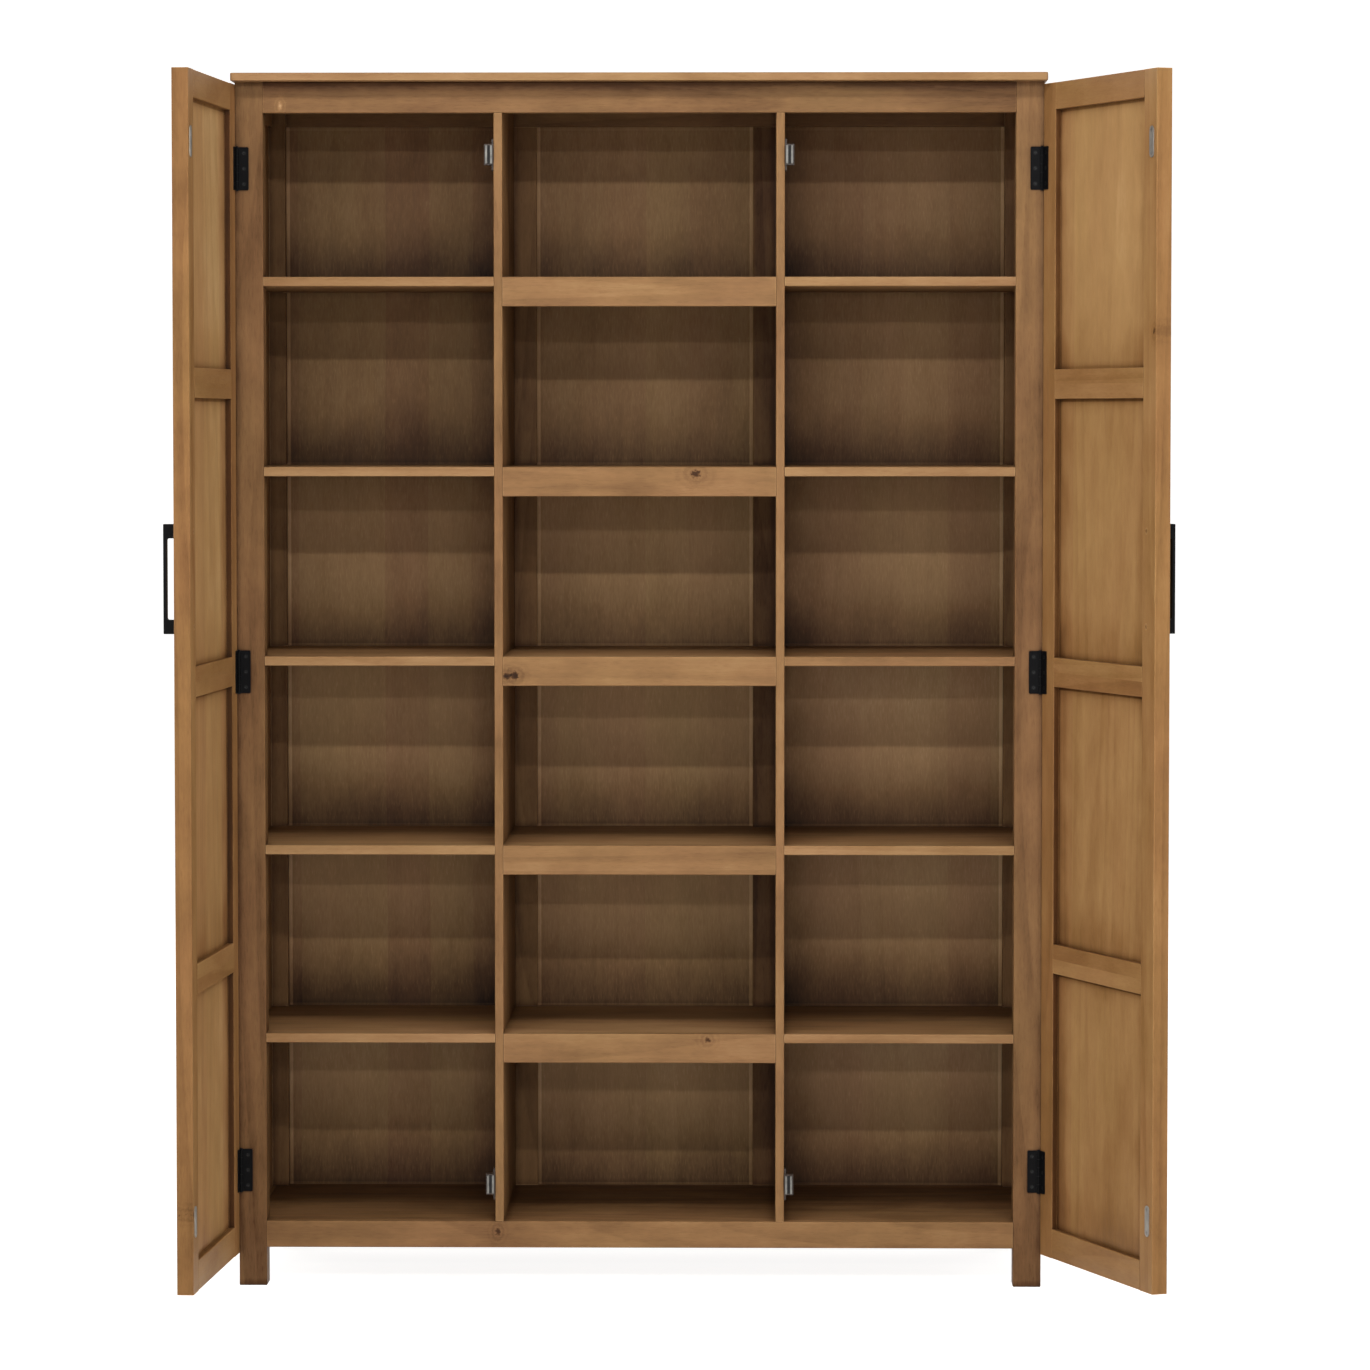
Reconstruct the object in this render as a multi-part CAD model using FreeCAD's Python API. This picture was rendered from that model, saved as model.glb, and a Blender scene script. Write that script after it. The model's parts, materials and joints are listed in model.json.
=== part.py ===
import FreeCAD, Part
import os

# Tall free-standing cabinet: three bays of shelves, with a framed door on each outer bay.
# Sizes are millimetres. X runs along the front from left to right, Y from the front to the back, Z up.
# The origin is on the floor, midway between the four posts.

V = FreeCAD.Vector
LEFT = -1
RIGHT = 1
SIDES = {"left": LEFT, "right": RIGHT}
ALONG_X = V(1, 0, 0)
ALONG_Y = V(0, 1, 0)
ALONG_Z = V(0, 0, 1)

# Carcass
case_width = 1208.0
case_depth = 410.0
case_height = 1808.0
post_size = 42.0
foot_height = 58.0
edge_round = 1.5
foot_bevel = 1.0

# Top board
top_thickness = 12.0
top_side_overhang = 4.0
top_front_overhang = 31.0
top_corner_round = 5.0

# Rails of the carcass
rail_thickness = 22.0
top_rail_height = 46.0
bottom_rail_height = 40.0
tenon_thickness = 8.0
tenon_length = 20.0

# Panels in their grooves
groove_depth = 8.0
panel_play = 1.0
panel_fit = 0.1
back_panel_thickness = 8.0
side_panel_thickness = 10.0
muntin_reveal = 35.0

# Floor board, dividers and shelves
floor_thickness = 14.0
floor_tongue_thickness = 6.0
floor_tongue_length = 4.0
divider_thickness = 13.0
divider_spacing = 422.0
shelf_count = 5
shelf_thickness = 14.0
top_row_height = 290.0
housing_depth = 4.0
housing_stop = 10.0
centre_rail_height = 44.0
centre_rail_thickness = 20.0

# Doors
door_thickness = 24.0
door_top_gap = 4.0
door_drop = 8.0
door_inset = 3.1
door_lap = 3.1
stile_width = 43.0
door_top_rail_height = 40.0
door_rail_height = 44.0
door_panel_count = 4
door_panel_thickness = 6.0
open_angles = {LEFT: 94.0, RIGHT: 111.1}

# Hinges
hinge_height = 64.0
hinge_inset = 125.0
leaf_width = 17.0
leaf_thickness = 1.4
leaf_corner_round = 2.0
barrel_radius = 2.5
barrel_gap = 0.3
knuckle_count = 5
knuckle_play = 0.3
pin_radius = 1.2
pin_fit = 0.05
pin_inset = 3.6
pin_head_radius = 2.1
pin_head_height = 1.2
hinge_screw_inset = 10.0
hinge_screw_spacing = 23.0

# Wood screws
screw_length = 12.0
screw_radius = 1.4
screw_tip = 4.0
screw_head_radius = 3.0
screw_head_depth = 1.2
recess_length = 3.4
recess_width = 0.8
recess_depth = 0.9

# Magnetic catches and their strike plates
catch_inset = 104.0
catch_width = 14.0
catch_depth = 18.0
catch_height = 31.0
catch_setback = 1.0
ear_thickness = 3.0
ear_height = 9.0
ear_depth = 11.0
pole_width = 3.0
pole_height = 27.0
pole_seat = 10.0
magnet_width = 4.4
magnet_setback = 0.5
strike_width = 13.0
strike_height = 45.0
strike_thickness = 1.3
strike_gap = 0.4
strike_screw_spacing = 33.0

# Handles
handle_length = 157.5
handle_width = 12.0
handle_reach = 19.5
handle_bar = 4.6
handle_foot = 20.5
handle_from_groove = 5.0
handle_rise = 150.0
handle_inner_round = 3.0
handle_edge_round = 1.0
handle_screw_radius = 2.0
handle_screw_bite = 8.0
handle_screw_head_radius = 4.0
handle_screw_head_depth = 2.4

# Cuts run past the surface that they start from by this much
overrun = 2.0

# Places that follow from the sizes
half = case_width / 2
front = -case_depth / 2
rear = case_depth / 2
post_in = half - post_size
front_in = front + post_size
rear_in = rear - post_size
side_in = half - rail_thickness
side_mid = half - rail_thickness / 2
side_panel_face = side_mid - side_panel_thickness / 2
rail_back = front + rail_thickness
front_mid = front + rail_thickness / 2
back_mid = rear - post_size / 2
back_frame_face = back_mid - rail_thickness / 2
back_panel_face = back_mid - back_panel_thickness / 2
floor_top = foot_height + bottom_rail_height
top_rail_bottom = case_height - top_rail_height
divider_mid = divider_spacing / 2
divider_in = divider_mid - divider_thickness / 2
divider_out = divider_mid + divider_thickness / 2
muntin_in = divider_in - muntin_reveal
shelf_pitch = (case_height - top_row_height - floor_top) / shelf_count
shelf_tops = [floor_top + shelf_pitch * (row + 1) for row in range(shelf_count)]

door_gap = 2 * (barrel_radius + barrel_gap)
door_bottom = foot_height - door_drop
door_top = case_height - door_top_gap
door_middle = (door_bottom + door_top) / 2
door_edge = half - door_inset
door_free = divider_mid - door_lap
door_face = front - door_gap
door_mid = door_face - door_thickness / 2
door_back = door_face - door_thickness
opening_low = door_free + stile_width
opening_high = door_edge - stile_width

pin_x = half - pin_inset
pin_y = front - door_gap / 2
hinge_heights = (door_bottom + hinge_inset, door_middle, door_top - hinge_inset)
catch_heights = (door_bottom + catch_inset, door_top - catch_inset)
catch_mid = divider_out + catch_width / 2
catch_face = front + catch_setback
pole_face = door_face + strike_thickness + strike_gap
handle_x = opening_low - groove_depth - handle_from_groove
handle_z = door_middle + handle_rise


def slab(xs, ys, zs):
    """Box between pairs of coordinates, each pair in either order."""
    low = [min(pair) for pair in (xs, ys, zs)]
    size = [abs(pair[1] - pair[0]) for pair in (xs, ys, zs)]
    return Part.makeBox(size[0], size[1], size[2], V(*low))


def about(middle, size):
    """Pair of coordinates that lie evenly about a middle."""
    return (middle - size / 2, middle + size / 2)


def mirrored(side, low, high):
    """Pair of X coordinates on one side of the cabinet."""
    return (side * low, side * high)


def joined(first, others):
    """One solid from pieces that touch or overlap."""
    return first.fuse(others).removeSplitter()


def edges_along(shape, direction):
    """Straight edges that run in a direction."""
    found = []
    for edge in shape.Edges:
        if edge.Curve.TypeId == "Part::GeomLine" and abs(edge.Curve.Direction.dot(direction)) > 0.99:
            found.append(edge)
    return found


def eased(board, direction, radius=edge_round):
    """Board whose long edges are rounded."""
    return board.makeFillet(radius, edges_along(board, direction))


def eased_front(board, direction):
    """Board whose front edges alone are rounded."""
    face = board.BoundBox.YMin
    edges = [edge for edge in edges_along(board, direction) if abs(edge.CenterOfMass.y - face) < edge_round]
    return board.makeFillet(edge_round, edges)


def turned(points):
    """Solid turned about the Z axis from points of radius and height."""
    outline = [V(radius, 0, height) for radius, height in points]
    face = Part.Face(Part.makePolygon(outline + outline[:1]))
    return face.revolve(V(), ALONG_Z, 360)


def set_at(shape, point, outward):
    """Shape turned so that its Z axis points outward, and moved to a point."""
    moved = shape.copy()
    moved.Placement = FreeCAD.Placement(point, FreeCAD.Rotation(ALONG_Z, outward))
    return moved


def swung(shape, side):
    """Door piece turned about its hinge pin from closed to its open place."""
    return shape.rotated(V(side * pin_x, pin_y, 0), ALONG_Z, side * open_angles[side])


def save(name, *solids):
    """Writes one named piece, or one group of like pieces."""
    shape = solids[0] if len(solids) == 1 else Part.makeCompound(solids)
    shape.exportStep("parts/" + name + ".step")


# Joints of the carcass, each used for the piece and for the cut that receives it

def tenon_heights(low, high):
    """Heights between which a rail's tenon lies."""
    return (low + groove_depth, high - groove_depth)


def cross_tenons(middle, low, high):
    """Tenons of a rail between a left and a right post."""
    reach = post_in + tenon_length
    return slab((-reach, reach), about(middle, tenon_thickness), tenon_heights(low, high))


def side_tenons(side, low, high):
    """Tenons of a rail between a front and a rear post."""
    depths = (front_in - tenon_length, rear_in + tenon_length)
    return slab(about(side * side_mid, tenon_thickness), depths, tenon_heights(low, high))


def side_panel_room(side):
    """Space that a side panel may fill, its grooves included."""
    depths = (front_in - groove_depth, rear_in + groove_depth)
    heights = (floor_top - groove_depth, top_rail_bottom + groove_depth)
    return slab(about(side * side_mid, side_panel_thickness), depths, heights)


def back_panel_room(low, high):
    """Space that a back panel may fill between two uprights, its grooves included."""
    heights = (floor_top - groove_depth, top_rail_bottom + groove_depth)
    widths = (low - groove_depth, high + groove_depth)
    return slab(widths, about(back_mid, back_panel_thickness), heights)


def back_openings():
    """Widths between the uprights of the back frame, by name."""
    return {
        "left": (-post_in, -divider_out),
        "centre": (-muntin_in, muntin_in),
        "right": (divider_out, post_in),
    }


def muntin_tenons(side):
    """Stub tenons on the ends of a back muntin."""
    widths = mirrored(side, muntin_in + groove_depth, divider_out - groove_depth)
    heights = (floor_top - groove_depth, top_rail_bottom + groove_depth)
    return slab(widths, about(back_mid, tenon_thickness), heights)


def floor_tongues():
    """Tongues on the front and rear edges of the floor board."""
    depths = (rail_back - floor_tongue_length, back_frame_face + floor_tongue_length)
    heights = about(floor_top - floor_thickness / 2, floor_tongue_thickness)
    return slab((-post_in, post_in), depths, heights)


def divider_foot(side):
    """Tongue under a divider that stands in the floor board."""
    depths = (rail_back, back_frame_face)
    return slab(about(side * divider_mid, divider_thickness), depths, (floor_top - housing_depth, floor_top))


def shelf_in_divider(side, top):
    """End of a side shelf that is housed in the divider."""
    widths = mirrored(side, divider_out - housing_depth, divider_out)
    return slab(widths, (front + housing_stop, back_frame_face), (top - shelf_thickness, top))


def shelf_in_posts(side, top):
    """Ends of a side shelf that are housed in the front and rear posts."""
    widths = mirrored(side, post_in, post_in + housing_depth)
    heights = (top - shelf_thickness, top)
    return [
        slab(widths, (front + housing_stop, front_in), heights),
        slab(widths, (rear_in, back_panel_face), heights),
    ]


def centre_shelf_ends(top):
    """Centre shelf with both ends housed in the dividers."""
    reach = divider_in + housing_depth
    depths = (front + centre_rail_thickness, back_frame_face)
    return slab((-reach, reach), depths, (top - shelf_thickness, top))


def centre_rail_ends(top):
    """Stub tenons on the ends of a centre rail."""
    reach = divider_in + housing_depth
    heights = tenon_heights(top - centre_rail_height, top)
    return slab((-reach, reach), about(front + centre_rail_thickness / 2, tenon_thickness), heights)


# Fasteners

def screw_blank():
    """Countersunk wood screw without its recess, head at the origin and facing up."""
    return turned([
        (0, 0),
        (screw_head_radius, 0),
        (screw_radius, -screw_head_depth),
        (screw_radius, screw_tip - screw_length),
        (0, -screw_length),
    ])


def cross_recess():
    """Two crossing slots for a driver, cut into a head that faces up at the origin."""
    depths = (-recess_depth, overrun)
    one_way = slab(about(0, recess_length), about(0, recess_width), depths)
    other_way = slab(about(0, recess_width), about(0, recess_length), depths)
    return [one_way, other_way]


def screw():
    """Countersunk wood screw with a cross recess in its head."""
    return screw_blank().cut(cross_recess())


def handle_screw_blank():
    """Flat-headed machine screw that holds a handle's foot, head facing up."""
    length = door_thickness + handle_screw_bite
    return turned([
        (0, 0),
        (handle_screw_head_radius, 0),
        (handle_screw_head_radius, -handle_screw_head_depth),
        (handle_screw_radius, -handle_screw_head_depth),
        (handle_screw_radius, -length),
        (0, -length),
    ])


def handle_screw():
    """Machine screw with a cross recess in its head."""
    return handle_screw_blank().cut(cross_recess())


def hinge_screw_places(side, face, outward):
    """Points and directions of the screws in one side's leaves on a face."""
    places = []
    for height in hinge_heights:
        for step in (-1, 0, 1):
            point = V(side * (pin_x - hinge_screw_inset), face, height + step * hinge_screw_spacing)
            places.append((point, ALONG_Y * outward))
    return places


def frame_leaf_screws(side):
    """Places of the screws that hold the leaves on a front post."""
    return hinge_screw_places(side, front - leaf_thickness, -1)


def door_leaf_screws(side):
    """Places of the screws that hold the leaves on a closed door."""
    return hinge_screw_places(side, door_face + leaf_thickness, 1)


def catch_screws(side):
    """Places of the screws that hold the catches on a divider."""
    places = []
    for height in catch_heights:
        for step in (-1, 1):
            rise = step * (catch_height + ear_height) / 2
            point = V(side * (divider_out + ear_thickness), catch_face + catch_depth / 2, height + rise)
            places.append((point, ALONG_X * side))
    return places


def strike_screws(side):
    """Places of the screws that hold the strike plates on a closed door."""
    places = []
    for height in catch_heights:
        for step in (-1, 1):
            rise = step * strike_screw_spacing / 2
            point = V(side * catch_mid, door_face + strike_thickness, height + rise)
            places.append((point, ALONG_Y))
    return places


def handle_screws(side):
    """Places of the screws that hold the handle on a closed door."""
    rise = (handle_length - handle_foot) / 2
    return [(V(side * handle_x, door_face, handle_z + step * rise), ALONG_Y) for step in (-1, 1)]


def set_all(shape, places):
    """Copies of a shape at every place of a list."""
    return [set_at(shape, point, outward) for point, outward in places]


# Carcass pieces

def top_board():
    """Thin top with rounded corners and eased edges."""
    reach = half + top_side_overhang
    heights = (case_height, case_height + top_thickness)
    board = slab((-reach, reach), (front - top_front_overhang, rear), heights)
    board = board.makeFillet(top_corner_round, edges_along(board, ALONG_Z))
    middle = case_height + top_thickness / 2
    rims = [edge for edge in board.Edges if abs(edge.CenterOfMass.z - middle) > top_thickness / 4]
    return board.makeFillet(edge_round, rims)


def post(side, depths, middle):
    """Corner post that runs down to the floor as a foot."""
    body = eased(slab(mirrored(side, post_in, half), depths, (0, case_height)), ALONG_Z)
    sole = [edge for edge in body.Edges if edge.BoundBox.ZMax < foot_bevel]
    body = body.makeChamfer(foot_bevel, sole)
    cuts = [side_panel_room(side)]
    for low, high in ((foot_height, floor_top), (top_rail_bottom, case_height)):
        cuts.append(cross_tenons(middle, low, high))
        cuts.append(side_tenons(side, low, high))
    for top in shelf_tops:
        cuts.extend(shelf_in_posts(side, top))
    return body.cut(cuts)


def front_post(side):
    """Front post, bored for the screws of its hinges."""
    body = post(side, (front, front_in), front_mid)
    return body.cut(set_all(screw_blank(), frame_leaf_screws(side)))


def rear_post(side):
    """Rear post, grooved for the back panel."""
    low, high = back_openings()["left" if side == LEFT else "right"]
    return post(side, (rear_in, rear), back_mid).cut(back_panel_room(low, high))


def cross_rail(middle, low, high):
    """Rail between a left and a right post."""
    body = eased(slab((-post_in, post_in), about(middle, rail_thickness), (low, high)), ALONG_X)
    return joined(body, [cross_tenons(middle, low, high)])


def rear_rail(low, high):
    """Rail of the back frame, grooved for the panels and mortised for the muntins."""
    cuts = [back_panel_room(*widths) for widths in back_openings().values()]
    cuts.extend(muntin_tenons(side) for side in SIDES.values())
    return cross_rail(back_mid, low, high).cut(cuts)


def side_rail(side, low, high):
    """Rail between a front and a rear post, grooved for the side panel."""
    body = eased(slab(mirrored(side, side_in, half), (front_in, rear_in), (low, high)), ALONG_Y)
    return joined(body, [side_tenons(side, low, high)]).cut(side_panel_room(side))


def side_panel(side):
    """Flat panel that floats in the grooves of a side frame."""
    depths = (front_in - groove_depth + panel_play, rear_in + groove_depth - panel_play)
    heights = (floor_top - groove_depth + panel_play, top_rail_bottom + groove_depth - panel_play)
    return slab(about(side * side_mid, side_panel_thickness - 2 * panel_fit), depths, heights)


def back_panel(low, high):
    """Flat panel that floats in the grooves of the back frame."""
    widths = (low - groove_depth + panel_play, high + groove_depth - panel_play)
    heights = (floor_top - groove_depth + panel_play, top_rail_bottom + groove_depth - panel_play)
    return slab(widths, about(back_mid, back_panel_thickness - 2 * panel_fit), heights)


def back_muntin(side):
    """Upright of the back frame behind a divider."""
    widths = mirrored(side, muntin_in, divider_out)
    body = eased(slab(widths, about(back_mid, rail_thickness), (floor_top, top_rail_bottom)), ALONG_Z)
    grooves = [back_panel_room(*limits) for limits in back_openings().values()]
    return joined(body.cut(grooves), [muntin_tenons(side)])


def floor_board():
    """Board between the bottom rails, notched round the posts."""
    heights = (floor_top - floor_thickness, floor_top)
    middle = slab((-post_in, post_in), (rail_back, back_frame_face), heights)
    ends = slab((-side_in, side_in), (front_in, rear_in), heights)
    feet = [divider_foot(side) for side in SIDES.values()]
    return joined(middle, [ends, floor_tongues()]).cut(feet)


def divider(side):
    """Upright board between two bays, notched behind the top rail and housed for the shelves."""
    widths = about(side * divider_mid, divider_thickness)
    depths = (front, back_frame_face)
    body = eased_front(slab(widths, depths, (floor_top, top_rail_bottom)), ALONG_Z)
    head = slab(widths, (rail_back, back_frame_face), (top_rail_bottom, case_height))
    cuts = set_all(screw_blank(), catch_screws(side))
    for top in shelf_tops:
        cuts.append(shelf_in_divider(side, top))
        cuts.append(centre_shelf_ends(top))
        cuts.append(centre_rail_ends(top))
    return joined(body, [head, divider_foot(side)]).cut(cuts)


def side_shelf(side, top):
    """Shelf of an outer bay, notched round the posts and housed in them and in the divider."""
    heights = (top - shelf_thickness, top)
    widths = mirrored(side, divider_out, post_in)
    board = eased_front(slab(widths, (front, back_panel_face), heights), ALONG_X)
    wing = slab(mirrored(side, post_in, side_panel_face), (front_in, rear_in), heights)
    return joined(board, [wing, shelf_in_divider(side, top)] + shelf_in_posts(side, top))


def centre_shelf(top):
    """Shelf of the open bay, behind its rail."""
    heights = (top - shelf_thickness, top)
    tail = slab((-muntin_in, muntin_in), (back_frame_face, back_panel_face), heights)
    return joined(centre_shelf_ends(top), [tail])


def centre_rail(top):
    """Deep rail along the front of a centre shelf."""
    depths = (front, front + centre_rail_thickness)
    body = eased(slab((-divider_in, divider_in), depths, (top - centre_rail_height, top)), ALONG_X)
    return joined(body, [centre_rail_ends(top)])


# Door pieces, made closed

def door_rail_heights():
    """Heights of a door's rails, from the bottom up."""
    rails = door_rail_height * door_panel_count + door_top_rail_height
    panel = (door_top - door_bottom - rails) / door_panel_count
    heights = []
    low = door_bottom
    for _ in range(door_panel_count):
        heights.append((low, low + door_rail_height))
        low += door_rail_height + panel
    heights.append((low, door_top))
    return heights


def door_tenons(side, low, high):
    """Tenons of a door rail."""
    widths = mirrored(side, opening_low - tenon_length, opening_high + tenon_length)
    return slab(widths, about(door_mid, tenon_thickness), tenon_heights(low, high))


def door_rail(side, low, high):
    """Rail of a door, grooved for its panels."""
    widths = mirrored(side, opening_low, opening_high)
    body = eased(slab(widths, about(door_mid, door_thickness), (low, high)), ALONG_X)
    return joined(body, [door_tenons(side, low, high)]).cut(door_panel_rooms(side))


def door_panel_spans():
    """Heights of the openings between a door's rails."""
    rails = door_rail_heights()
    return [(below[1], above[0]) for below, above in zip(rails, rails[1:])]


def door_panel_rooms(side):
    """Spaces that a door's panels may fill, their grooves included."""
    widths = mirrored(side, opening_low - groove_depth, opening_high + groove_depth)
    depths = about(door_mid, door_panel_thickness)
    spans = door_panel_spans()
    return [slab(widths, depths, (low - groove_depth, high + groove_depth)) for low, high in spans]


def door_panel(side, low, high):
    """Flat panel that floats in the grooves of a door."""
    reach = groove_depth - panel_play
    widths = mirrored(side, opening_low - reach, opening_high + reach)
    depths = about(door_mid, door_panel_thickness - 2 * panel_fit)
    return slab(widths, depths, (low - reach, high + reach))


def door_stile(side, low, high, holes):
    """Upright of a door between two distances from the cabinet's middle, bored for its hardware."""
    body = slab(mirrored(side, low, high), about(door_mid, door_thickness), (door_bottom, door_top))
    cuts = door_panel_rooms(side)
    cuts.extend(door_tenons(side, *heights) for heights in door_rail_heights())
    return eased(body, ALONG_Z).cut(cuts + holes)


def hinge_stile(side):
    """Stile that carries the hinges."""
    holes = set_all(screw_blank(), door_leaf_screws(side))
    return door_stile(side, opening_high, door_edge, holes)


def free_stile(side):
    """Stile that carries the handle and the strike plates."""
    holes = set_all(screw_blank(), strike_screws(side))
    holes.extend(set_all(handle_screw_blank(), handle_screws(side)))
    return door_stile(side, door_free, opening_low, holes)


def handle(side):
    """Straight pull with a flat bar on two feet."""
    widths = about(side * handle_x, handle_width)
    block = slab(widths, (door_back - handle_reach, door_back), about(handle_z, handle_length))
    block = block.makeFillet(handle_edge_round, block.Edges)
    base = slab(widths, (door_back - handle_edge_round, door_back), about(handle_z, handle_length))
    block = joined(block, [eased(base, ALONG_Y, handle_edge_round)])
    wide = about(side * handle_x, handle_width + overrun)
    depths = (door_back - handle_reach + handle_bar, door_back + handle_inner_round)
    window = slab(wide, depths, about(handle_z, handle_length - 2 * handle_foot))
    window = window.makeFillet(handle_inner_round, edges_along(window, ALONG_X))
    return block.cut([window] + set_all(handle_screw_blank(), handle_screws(side)))


# Hinges

def barrel(side, height, rows, radius, play):
    """Rings of a hinge's barrel at some of its places, shortened by a play at each end."""
    step = hinge_height / knuckle_count
    rings = []
    for row in rows:
        low = height - hinge_height / 2 + row * step + play
        rings.append(Part.makeCylinder(radius, step - 2 * play, V(side * pin_x, pin_y, low)))
    return rings


def hinge_leaf(side, height, depths, own_rows, other_rows, screws):
    """Leaf of a hinge: a screwed plate that carries every other ring of the barrel."""
    plate = slab(mirrored(side, pin_x - leaf_width, pin_x), depths, about(height, hinge_height))
    outer = pin_x - leaf_width
    corners = [e for e in edges_along(plate, ALONG_Y) if abs(abs(e.CenterOfMass.x) - outer) < leaf_thickness]
    plate = plate.makeFillet(leaf_corner_round, corners)
    room = barrel(side, height, other_rows, barrel_radius + barrel_gap, -knuckle_play / 2)
    leaf = joined(plate.cut(room), barrel(side, height, own_rows, barrel_radius, knuckle_play / 2))
    bore_low = V(side * pin_x, pin_y, height - hinge_height / 2 - overrun)
    bore = Part.makeCylinder(pin_radius + pin_fit, hinge_height + 2 * overrun, bore_low)
    return leaf.cut([bore] + set_all(screw_blank(), screws))


def frame_leaf(side, height):
    """Leaf on a front post, with the first, third and fifth rings."""
    rows = range(knuckle_count)
    depths = (front - leaf_thickness, front)
    return hinge_leaf(side, height, depths, rows[::2], rows[1::2], frame_leaf_screws(side))


def door_leaf(side, height):
    """Leaf on a door, with the second and fourth rings."""
    rows = range(knuckle_count)
    depths = (door_face, door_face + leaf_thickness)
    return hinge_leaf(side, height, depths, rows[1::2], rows[::2], door_leaf_screws(side))


def hinge_pin(side, height):
    """Pin with a flat button on each end of the barrel."""
    end = hinge_height / 2
    return set_at(turned([
        (0, -end - pin_head_height),
        (pin_head_radius, -end - pin_head_height),
        (pin_head_radius, -end),
        (pin_radius, -end),
        (pin_radius, end),
        (pin_head_radius, end),
        (pin_head_radius, end + pin_head_height),
        (0, end + pin_head_height),
    ]), V(side * pin_x, pin_y, height), ALONG_Z)


# Catches

def pole_room(side, height):
    """Pocket in a catch for its magnet and its two pole plates."""
    widths = about(side * catch_mid, magnet_width + 2 * pole_width)
    return slab(widths, (catch_face - overrun, catch_face + pole_seat), about(height, pole_height))


def catch_housing(side, height):
    """Moulded body of a catch with an ear above and below."""
    depths = (catch_face, catch_face + catch_depth)
    body = slab(mirrored(side, divider_out, divider_out + catch_width), depths, about(height, catch_height))
    body = eased(body, ALONG_Y, magnet_setback)
    ears = slab(
        mirrored(side, divider_out, divider_out + ear_thickness),
        about(catch_face + catch_depth / 2, ear_depth),
        about(height, catch_height + 2 * ear_height),
    )
    ears = eased(ears, ALONG_X, ear_thickness)
    cuts = [pole_room(side, height)] + set_all(screw_blank(), catch_screws(side))
    return joined(body, [ears]).cut(cuts)


def pole_plates(side, height):
    """Two steel plates that reach out of a catch towards the strike."""
    depths = (pole_face, catch_face + pole_seat)
    offset = (magnet_width + pole_width) / 2
    middles = (catch_mid - offset, catch_mid + offset)
    return [slab(about(side * middle, pole_width), depths, about(height, pole_height)) for middle in middles]


def magnet(side, height):
    """Block magnet between the pole plates."""
    depths = (catch_face + magnet_setback, catch_face + pole_seat)
    return slab(about(side * catch_mid, magnet_width), depths, about(height, pole_height))


def strike_plate(side, height):
    """Round-ended steel plate on a closed door."""
    depths = (door_face, door_face + strike_thickness)
    straight = strike_height - strike_width
    bar = slab(about(side * catch_mid, strike_width), depths, about(height, straight))
    ends = []
    for step in (-1, 1):
        middle = V(side * catch_mid, door_face, height + step * straight / 2)
        ends.append(Part.makeCylinder(strike_width / 2, strike_thickness, middle, ALONG_Y))
    return joined(bar, ends).cut(set_all(screw_blank(), strike_screws(side)))


# Writing the pieces

def save_carcass():
    """Posts, frames, panels, dividers and shelves."""
    save("top_board", top_board())
    save("front_top_rail", cross_rail(front_mid, top_rail_bottom, case_height))
    save("front_bottom_rail", cross_rail(front_mid, foot_height, floor_top).cut(floor_tongues()))
    save("rear_top_rail", rear_rail(top_rail_bottom, case_height))
    save("rear_bottom_rail", rear_rail(foot_height, floor_top).cut(floor_tongues()))
    save("floor_board", floor_board())
    for name, side in SIDES.items():
        save("front_" + name + "_post", front_post(side))
        save("rear_" + name + "_post", rear_post(side))
        save(name + "_side_top_rail", side_rail(side, top_rail_bottom, case_height))
        save(name + "_side_bottom_rail", side_rail(side, foot_height, floor_top))
        save(name + "_side_panel", side_panel(side))
        save(name + "_back_muntin", back_muntin(side))
        save(name + "_divider", divider(side))
        save(name + "_shelves", *[side_shelf(side, top) for top in shelf_tops])
    for name, widths in back_openings().items():
        save(name + "_back_panel", back_panel(*widths))
    save("centre_shelves", *[centre_shelf(top) for top in shelf_tops])
    for row, top in enumerate(shelf_tops):
        save("centre_rail_" + str(row + 1), centre_rail(top))


def save_carcass_hardware():
    """Hinge leaves on the posts, hinge pins, catches and their screws."""
    leaves = []
    pins = []
    housings = []
    plates = []
    magnets = []
    places = []
    for side in SIDES.values():
        leaves.extend(frame_leaf(side, height) for height in hinge_heights)
        pins.extend(hinge_pin(side, height) for height in hinge_heights)
        places.extend(frame_leaf_screws(side) + catch_screws(side))
        for height in catch_heights:
            housings.append(catch_housing(side, height))
            plates.extend(pole_plates(side, height))
            magnets.append(magnet(side, height))
    save("hinge_frame_leaves", *leaves)
    save("hinge_pins", *pins)
    save("catch_housings", *housings)
    save("catch_pole_plates", *plates)
    save("catch_magnets", *magnets)
    save("carcass_screws", *set_all(screw(), places))


def save_door(name, side):
    """One door with its hardware, swung open."""
    rails = [door_rail(side, *heights) for heights in door_rail_heights()]
    screws = set_all(screw(), door_leaf_screws(side) + strike_screws(side))
    pieces = {
        "hinge_stile": [hinge_stile(side)],
        "free_stile": [free_stile(side)],
        "bottom_rail": rails[:1],
        "mid_rails": rails[1:-1],
        "top_rail": rails[-1:],
        "panels": [door_panel(side, *span) for span in door_panel_spans()],
        "handle": [handle(side)],
        "handle_screws": set_all(handle_screw(), handle_screws(side)),
        "hinge_leaves": [door_leaf(side, height) for height in hinge_heights],
        "strike_plates": [strike_plate(side, height) for height in catch_heights],
        "screws": screws,
    }
    for piece, solids in pieces.items():
        save(name + "_door_" + piece, *[swung(solid, side) for solid in solids])


os.makedirs("parts", exist_ok=True)
save_carcass()
save_carcass_hardware()
for door_name, door_side in SIDES.items():
    save_door(door_name, door_side)
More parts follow.
